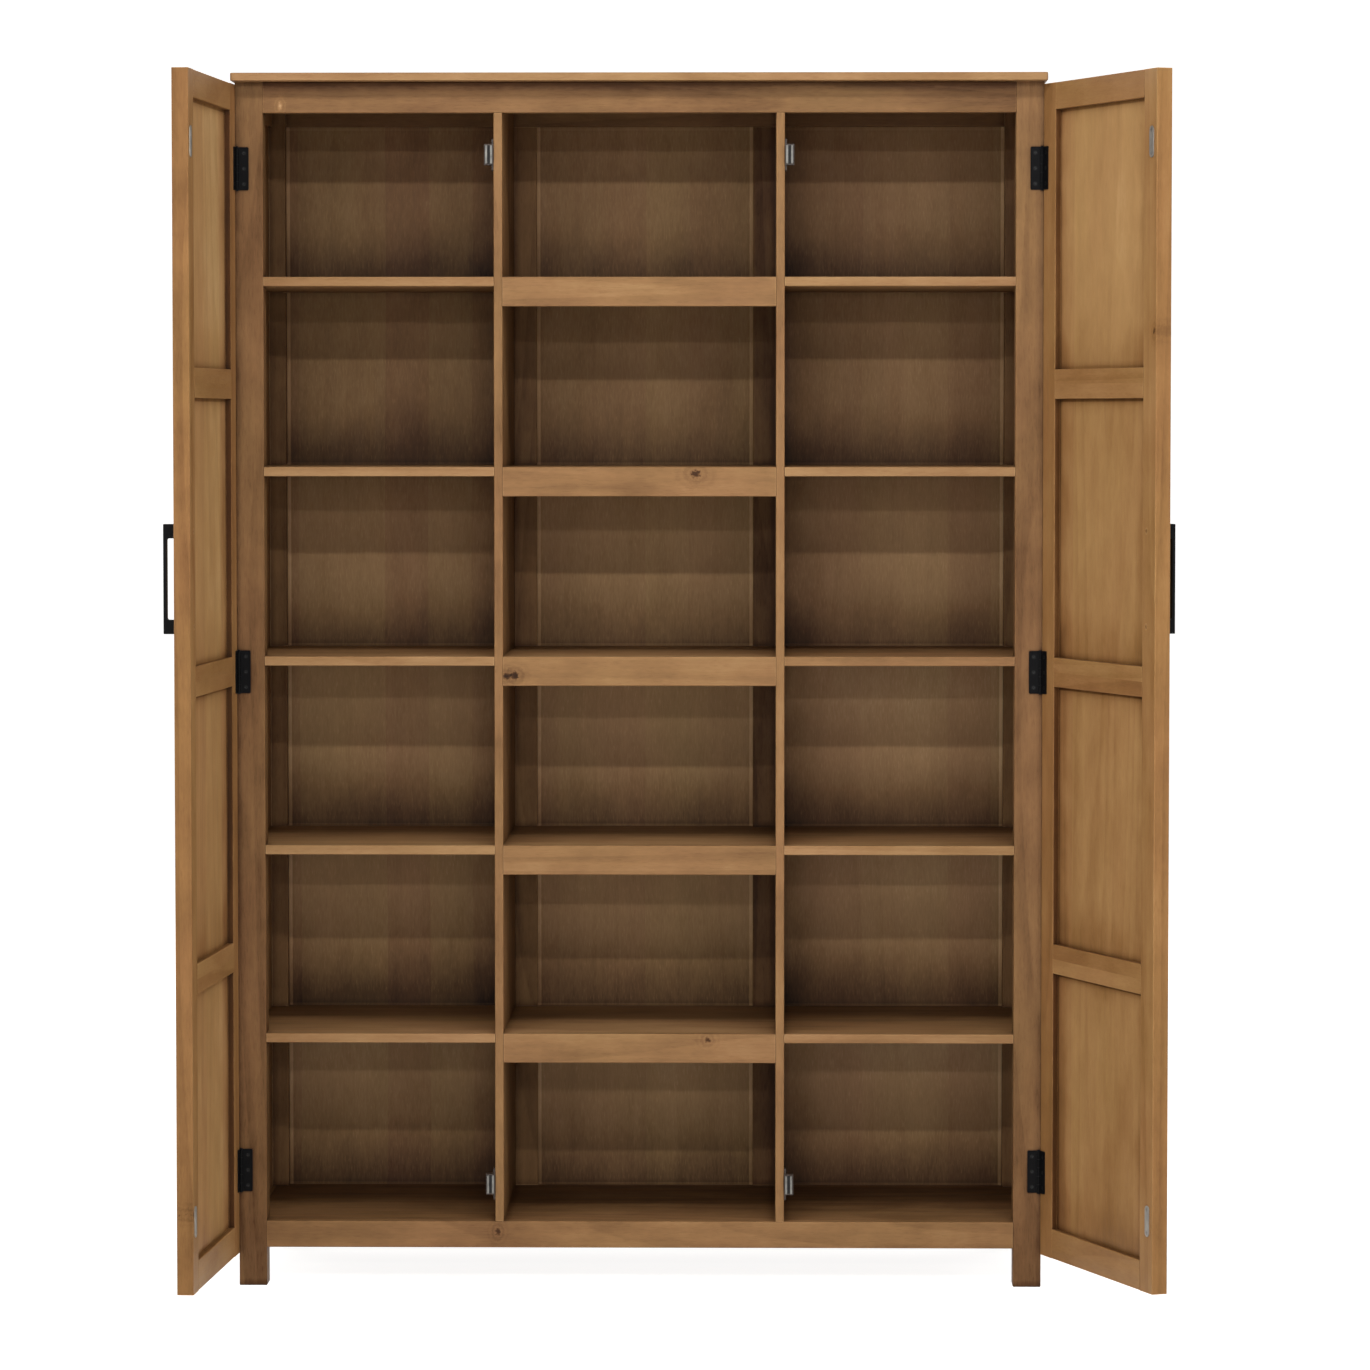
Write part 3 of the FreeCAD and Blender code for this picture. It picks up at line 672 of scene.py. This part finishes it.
# Depths of the painted shade on the inner faces of the back frame, deepest on the right muntin.
inside_shade_depths = {
    "left_back_muntin": 0.01, "right_back_muntin": 0.12, "rear_right_post": 0.01,
    "rear_left_post": 0.02,
}
back_frame = (*inside_shade_depths, "rear_top_rail")

grain_of = {name: "z" for name in upright}
grain_of |= {name: "x" for name in across}
grain_of |= {name: "y" for name in deep}
print("carcass boards:", len(grain_of))

# %% Finish the carcass boards
for seed, (name, grain) in enumerate(grain_of.items()):
    # Painted shade on the carcass boards: at the feet of the posts, towards the back of the
    # dividers and floor, under the overhang and inside the back frame.
    painted_light_and_shade = [painted_shade_at_feet] if name.endswith("post") else []
    if name.endswith("divider") or name == "floor_board":
        painted_light_and_shade.append(painted_shade_towards_back)
    if name == "front_top_rail":
        painted_light_and_shade.append(painted_overhang_shadow)
    if name in inside_shade_depths:
        painted_light_and_shade.append(painted_shade_inside(inside_shade_depths[name]))
    # The paler edges are partly rubbed by use and partly painted highlight, strongest on the back
    # frame.
    wood = stained_wood(name + "_wood", FRAME_STAIN, grain, seed, tones_of.get(name, 0.0),
                        wear=0.34 if name in back_frame else 0.13,
                        knots=knots_of.get(name, ()), painted_light_and_shade=painted_light_and_shade)
    dress([name], wood)
print("boards with a knot or a nick:", len(knots_of))

# %% [markdown]
# Shelves and panels
# The five shelves of a bay are one piece of the model. They could be split and finished one by
# one, but they lie at equal steps, so one finish serves them all and the count of the stack gives
# each its own piece of the log. Panels are wide, so they are glued up from strips, and each strip
# keeps its own tone and hue. The back panels show light flecks, as pores filled with a paler paste
# do, so their pores are pale and not dark.

# %% Shelves and panels
back_tones = {"left": 0.01, "centre": 0.03, "right": 0.08}
back_strip = 0.068
side_strip = 0.085

for seed, (bay, back_tone) in enumerate(back_tones.items()):
    # The shelves are painted darker towards the back: painted shade.
    wood = stained_wood(bay + "_shelf_wood", FRAME_STAIN, "x", 40 + seed, 0.05, boards=shelf_rows,
                        painted_light_and_shade=[painted_shade_towards_back])
    dress([bay + "_shelves"], wood)
    # The back panels carry painted shade above the shelves and beside the dividers, and painted
    # light under the shelves, in the middle rows and in thin lines by the frame.
    if bay == "centre":
        painted_light_and_shade = [painted_shade_above_shelves(0.30), painted_light_under_shelves, painted_light_middle_rows, painted_highlight_lines]
    else:
        painted_light_and_shade = [painted_shade_above_shelves(0.37), painted_light_under_shelves, painted_light_middle_rows, painted_highlight_lines, painted_shade_by_dividers]
    wood = stained_wood(bay + "_back_wood", BACK_STAIN, "z", 50 + seed, back_tone, figure=0.32,
                        flecks=-0.08, strips=("x", back_strip), painted_light_and_shade=painted_light_and_shade)
    dress([bay + "_back_panel"], wood)
for seed, side in enumerate(("left", "right")):
    wood = stained_wood(side + "_side_wood", FRAME_STAIN, "z", 60 + seed, 0.02,
                        strips=("y", side_strip))
    dress([side + "_side_panel"], wood)
print("bays with shelves and a back panel:", len(back_tones))

# %% [markdown]
# Doors
# A door is a frame of stiles and rails round four flat panels, and it stands open. Read in the
# room's own directions its grain would run askew, so its boards are described from the hinge line:
# X along the door, Y through it. The list of joints says where the hinge pin stands and how far
# the door is open at rest, so one turn and one shift carry the pattern onto the open door. The
# panels' openings are measured on the boards. The walls of each opening and the free edge are
# darkened with painted shade. Each panel is darker towards its rim, which is toned stain, with a
# thin dark line of painted shadow at the rim. The panels are paler on the inside of the door and
# higher up, which is painted light.

# %% The door's own frame
sides = {"left": -1, "right": 1}
hinges = {joint["child"]: joint for joint in frame["joints"]}


def door_frame(side):
    """The turn and shift that take a place in the room to a place on the open door. At rest the
    door stands open by the lower end of its hinge's range."""
    hinge = hinges[side + "_door"]
    lean = math.radians(-hinge["range_deg"][0] - 90)
    turn = math.atan2(math.cos(lean), sides[side] * math.sin(lean))
    x, y, _ = hinge["pos_m"]
    shift_x = -(x * math.cos(turn) - y * math.sin(turn))
    shift_y = -(x * math.sin(turn) + y * math.cos(turn))
    return turn, (shift_x, shift_y, 0.0)


def reach_on_door(board):
    """How near to the hinge line and how far from it a board of the left door lies: for all its
    corners at once, x times the turn's cosine less y times its sine, plus the shift."""
    mesh = nodes["left_door_" + board].data
    corners = np.empty(3 * len(mesh.vertices))
    mesh.vertices.foreach_get("co", corners)
    turn, shift = door_frame("left")
    x, y, _ = corners.reshape(-1, 3).T
    reach = x * math.cos(turn) - y * math.sin(turn) + shift[0]
    return float(reach.min()), float(reach.max())


door_turns = {side: round(math.degrees(door_frame(side)[0]), 1) for side in sides}
print("door turns:", door_turns)

# %% Openings of the panels
mid_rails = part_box("left_door_mid_rails")
mid_rail_count = 3
opening_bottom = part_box("left_door_bottom_rail")[1].z
opening_height = mid_rails[0].z - opening_bottom
opening_step = (mid_rails[1].z - opening_bottom) / mid_rail_count
opening_rows = (opening_bottom, opening_step)
rail_rows = (opening_bottom - 0.5 * (opening_step - opening_height), opening_step)
near_side = reach_on_door("hinge_stile")[1]
far_side = reach_on_door("free_stile")[0]


def opening_edges(tree, point):
    """How far a point lies inside its panel's opening from the hinge side, the free side, the
    bottom and the top."""
    x = along(tree, point, "x")
    height = maths(tree, "SUBTRACT", along(tree, point, "z"), opening_bottom)
    rise = maths(tree, "FLOORED_MODULO", height, opening_step)
    from_hinge = maths(tree, "SUBTRACT", x, near_side)
    from_free = maths(tree, "SUBTRACT", far_side, x)
    return from_hinge, from_free, rise, maths(tree, "SUBTRACT", opening_height, rise)


print("opening:", round(near_side, 5), "to", round(far_side, 5), "m from the hinge line")
print("opening bottom:", round(opening_bottom, 5), "step:", round(opening_step, 5))
print("opening height:", round(opening_height, 5))

# %% Painted shade of the door frames
free_edge_shade_depths = {"left": 0.14, "right": 0.08}


def painted_shade_of_openings(side):
    """The painted shade on the walls of one door's openings."""
    def shade(tree, point, place):
        """Painted shade: dark where the surface lies at an opening's edge and faces along the door,
        not out of it. The nearest edge is the least of the four distances."""
        inside, *others = opening_edges(tree, point)
        for edge in others:
            inside = maths(tree, "MINIMUM", inside, edge)
        at_edge = remap(tree, maths(tree, "ABSOLUTE", inside), 0.0015, 0.0035, 1.0, 0.0)
        outwards = maths(tree, "ABSOLUTE", board_facing(tree, "y", door_frame(side)))
        sideways = remap(tree, outwards, 0.75, 0.35)
        return times(tree, maths(tree, "MULTIPLY", at_edge, sideways), -0.13)
    return shade


def painted_shade_free_edge(side):
    """The painted shade of one door's free edge."""
    def shade(tree, point, place):
        """Painted shade: darker on the face that looks away from the hinges."""
        away = board_facing(tree, "x", door_frame(side))
        return remap(tree, away, 0.5, 0.9, 0.0, -free_edge_shade_depths[side])
    return shade


print("free edges are darker by", free_edge_shade_depths)

# %% Stain and painted light and shade of the door panels
inside_light_tones = {"left": 0.17, "right": 0.05}
rim_shades = ((0.045, 0.13, 0.09), (0.040, 0.09, 0.0), (0.085, 0.10, 0.02), (0.030, 0.05, 0.18))


def painted_light_inside(side):
    """The painted light of one door's panels on the inside."""
    def shade(tree, point, place):
        """Painted light: paler on the face that looks into the cabinet when the door is shut."""
        inwards = times(tree, board_facing(tree, "y", door_frame(side)), -sides[side])
        return remap(tree, inwards, 0.3, 0.7, 0.0, inside_light_tones[side])
    return shade


def rim_stain_and_shadow(tree, point, place):
    """Darker towards the rim with an uneven edge, which is toned stain, and a thin dark line at the
    rim itself, which is painted shadow of the frame, deepest at the top. Hinge side, free side,
    bottom and top each have the reach and depth of the soft darkening, and the depth of the line."""
    waver = times(tree, noise(tree, place, 12.0, 2.0), 0.05)
    rims = []
    for edge, (reach, depth, line) in zip(opening_edges(tree, point), rim_shades):
        soft = remap(tree, maths(tree, "ADD", edge, waver), 0.0, reach, -depth, 0.0)
        rims += [soft, remap(tree, edge, 0.0035, 0.0050, -line, 0.0)]
    return total(tree, *rims)


def painted_light_higher_rows(tree, point, place):
    """Painted light: panels are paler from row to row going up: the row's number times a step, less
    a start.
    """
    row = stack_count(tree, point, opening_rows)
    return total(tree, times(tree, row, 0.035), -0.05)


print("rims shaded on", len(rim_shades), "sides")

# %% Door boards
door_boards = {"hinge_stile": "z", "free_stile": "z", "bottom_rail": "x", "mid_rails": "x",
               "top_rail": "x"}
door_knots = {
    "left": [((0.388, 0.0, 0.166), 0.004, 0.005, 0.2)],
    "right": [((0.385, 0.0, 1.431), 0.004, 0.006, 0.26)],
}
door_strip = 0.045

for side in sides:
    door = door_frame(side)
    first_seed = 80 + 10 * sides[side]
    for seed, (board, grain) in enumerate(door_boards.items(), first_seed):
        name = side + "_door_" + board
        # The door boards' paler edges are partly rubbed by use and partly painted highlight; their
        # list adds painted shade on the opening walls and the free edge.
        wood = stained_wood(name + "_wood", DOOR_STAIN, grain, seed,
                            0.02 if board == "hinge_stile" else 0.07, wear=0.22, door=door,
                            boards=rail_rows if board == "mid_rails" else None,
                            knots=door_knots[side] if board == "free_stile" else (),
                            painted_light_and_shade=[painted_shade_of_openings(side), painted_shade_free_edge(side)])
        dress([name], wood)
    # The panels' list holds toned stain and painted shadow at the rims, and painted light higher up
    # and on the inside.
    wood = stained_wood(side + "_door_panel_wood", DOOR_STAIN, "z", first_seed + len(door_boards),
                        0.08, figure=0.6, drift=0.012, door=door, boards=opening_rows,
                        strips=("x", door_strip),
                        painted_light_and_shade=[rim_stain_and_shadow, painted_light_higher_rows, painted_light_inside(side)])
    dress([side + "_door_panels"], wood)
print("door finishes:", len(sides) * (len(door_boards) + 1))

# %% [markdown]
# Black coated metal
# Hinges and pulls are steel with a thin black powder coat. Plain black would do from far away, but
# close up the edges would vanish. So the coat is nearly black and half matt, with a fine pebbled
# skin and slightly brighter edges, partly where the coat is thin and partly painted highlight.

# %% Black coat
def black_coat():
    """Powder coat: near black that wanders a little, a pebbled bump and paler edges, partly rubbed
    and partly painted highlight.
    """
    finish, tree, shader = begin_finish("black_coat", 0.05)
    point = add(tree, "TexCoord", {}, "Object")
    pebbles = noise(tree, point, 2200.0, 1.0)
    edges = times(tree, edge_wear_and_highlight(tree, 0.0008), 0.3)
    tone = total(tree, times(tree, noise(tree, point, 40.0, 3.0), 0.4), edges, 0.3)
    stops = ((0.0, (8, 8, 9)), (0.5, (17, 17, 18)), (1.0, (46, 45, 44)))
    bump = {"Strength": 0.25, "Distance": 0.0002, "Height": pebbles}
    feed(tree, shader, Base_Color=ramp(tree, tone, stops))
    feed(tree, shader, Roughness=total(tree, times(tree, pebbles, 0.2), 0.48))
    feed(tree, shader, Normal=add(tree, "Bump", bump))
    return finish


black_nodes = ["hinge_frame_leaves", "hinge_pins"]
black_nodes += [side + "_door_" + piece for side in sides for piece in ("hinge_leaves", "handle")]
dress(black_nodes, black_coat())
print("black pieces:", len(black_nodes))

# %% [markdown]
# Steel, screws, plastic and magnets
# Pole plates and strikes are zinc-plated steel: grey, with fine rolling marks, and brighter on the
# strikes. The screws of the hinges are black, and those of the catches and strikes are plated. Both
# kinds sit in one piece of the model, so rather than split it, the finish looks at where a screw
# is. Catch housings are moulded brown plastic, and the magnets nearly black ferrite. The pulls are
# screwed on from inside the door, and the heads of those screws are lacquered brown, so that they
# hardly show.

# %% Plated steel
outer_bay_middle = 0.5 * (muntin_outside + post_inside)
door_middle = 0.5 * (mid_rails[0].y + mid_rails[1].y)


def zinc_steel(name, tone=0.6, black_where=None):
    """Plated steel with rolling marks: tone is its plain brightness, and marks and cloud are added
    to it. Where black_where gives 1, the plating is blackened instead."""
    finish, tree, shader = begin_finish(name, 0.5)
    point = add(tree, "TexCoord", {}, "Object")
    rolled = noise(tree, vectors(tree, "MULTIPLY", point, (1.0, 1.0, 0.05)), 1500.0, 2.0)
    cloud = noise(tree, point, 90.0, 3.0)
    shine = total(tree, times(tree, rolled, 0.25), times(tree, cloud, 0.35), tone)
    if black_where is not None:
        shine = maths(tree, "SUBTRACT", shine, times(tree, black_where(tree, point), 0.60))
    stops = ((0.0, (6, 6, 6)), (0.2, (16, 16, 16)), (0.4, (100, 98, 94)), (1.0, (204, 202, 194)))
    rough = total(tree, times(tree, cloud, 0.3), times(tree, rolled, 0.15), 0.46)
    bump = {"Strength": 0.12, "Distance": 0.0001, "Height": rolled}
    feed(tree, shader, Base_Color=ramp(tree, shine, stops), Metallic=0.6, Roughness=rough)
    feed(tree, shader, Normal=add(tree, "Bump", bump))
    return finish


def near_posts(tree, point):
    """1 for screws beyond the middle of the outer bays, which are the hinges' own."""
    sideways = maths(tree, "ABSOLUTE", along(tree, point, "x"))
    return maths(tree, "GREATER_THAN", sideways, outer_bay_middle)


def near_hinge_line(tree, point):
    """1 for screws in the half of the open door that is next to the hinges."""
    return maths(tree, "GREATER_THAN", along(tree, point, "y"), door_middle)


strike_steel = zinc_steel("strike_steel", 0.68)
door_screw_steel = zinc_steel("door_screw_steel", black_where=near_hinge_line)
plated = {
    "catch_pole_plates": zinc_steel("pole_steel", 0.42),
    "carcass_screws": zinc_steel("carcass_screw_steel", black_where=near_posts),
}
plated |= {side + "_door_strike_plates": strike_steel for side in sides}
plated |= {side + "_door_screws": door_screw_steel for side in sides}
for name, steel in plated.items():
    dress([name], steel)
print("plated pieces:", len(plated))

# %% Moulded plastic
def moulded_brown():
    """Moulded plastic: brown with a faint cloud, paler edges, partly rubbed and partly painted
    highlight, and a fine grained skin.
    """
    finish, tree, shader = begin_finish("moulded_brown", 0.4)
    point = add(tree, "TexCoord", {}, "Object")
    skin = noise(tree, point, 1800.0, 2.0)
    cloud = times(tree, noise(tree, point, 60.0, 2.0), 0.5)
    tone = total(tree, cloud, times(tree, edge_wear_and_highlight(tree, 0.0008), 0.3), 0.5)
    stops = ((0.0, (26, 18, 13)), (0.5, (44, 31, 22)), (1.0, (78, 58, 42)))
    bump = {"Strength": 0.2, "Distance": 0.0002, "Height": skin}
    feed(tree, shader, Base_Color=ramp(tree, tone, stops))
    feed(tree, shader, Roughness=total(tree, times(tree, skin, 0.2), 0.45))
    feed(tree, shader, Normal=add(tree, "Bump", bump))
    return finish


dress(["catch_housings"], moulded_brown())
print("housings of the catches are moulded brown")

# %% Lacquer and ferrite
def brown_lacquer():
    """Lacquered screw heads: the brown of the door with a faint cloud and paler edges, partly
    rubbed and partly painted highlight.
    """
    finish, tree, shader = begin_finish("brown_lacquer", 0.3)
    point = add(tree, "TexCoord", {}, "Object")
    cloud = noise(tree, point, 300.0, 2.0)
    edges = times(tree, edge_wear_and_highlight(tree, 0.0006), 0.2)
    tone = total(tree, times(tree, cloud, 0.6), edges, 0.5)
    stops = ((0.0, (96, 62, 32)), (0.5, (138, 99, 58)), (1.0, (170, 130, 84)))
    rough = total(tree, times(tree, cloud, 0.2), 0.4)
    feed(tree, shader, Base_Color=ramp(tree, tone, stops), Roughness=rough)
    return finish


def ferrite():
    """Pressed ferrite: nearly black, matt and slightly grainy."""
    finish, tree, shader = begin_finish("ferrite", 0.4)
    point = add(tree, "TexCoord", {}, "Object")
    grains = noise(tree, point, 1400.0, 3.0)
    stops = ((0.0, (14, 13, 13)), (1.0, (38, 36, 36)))
    bump = {"Strength": 0.3, "Distance": 0.0002, "Height": grains}
    feed(tree, shader, Base_Color=ramp(tree, total(tree, grains, 0.5), stops))
    feed(tree, shader, Roughness=total(tree, times(tree, grains, 0.3), 0.68))
    feed(tree, shader, Normal=add(tree, "Bump", bump))
    return finish


dress(["catch_magnets"], ferrite())
dress([side + "_door_handle_screws" for side in sides], brown_lacquer())
bare = [name for name, piece in nodes.items()
        if not piece.data.materials or not piece.data.materials[0].use_nodes]
print("pieces without a finish:", bare)
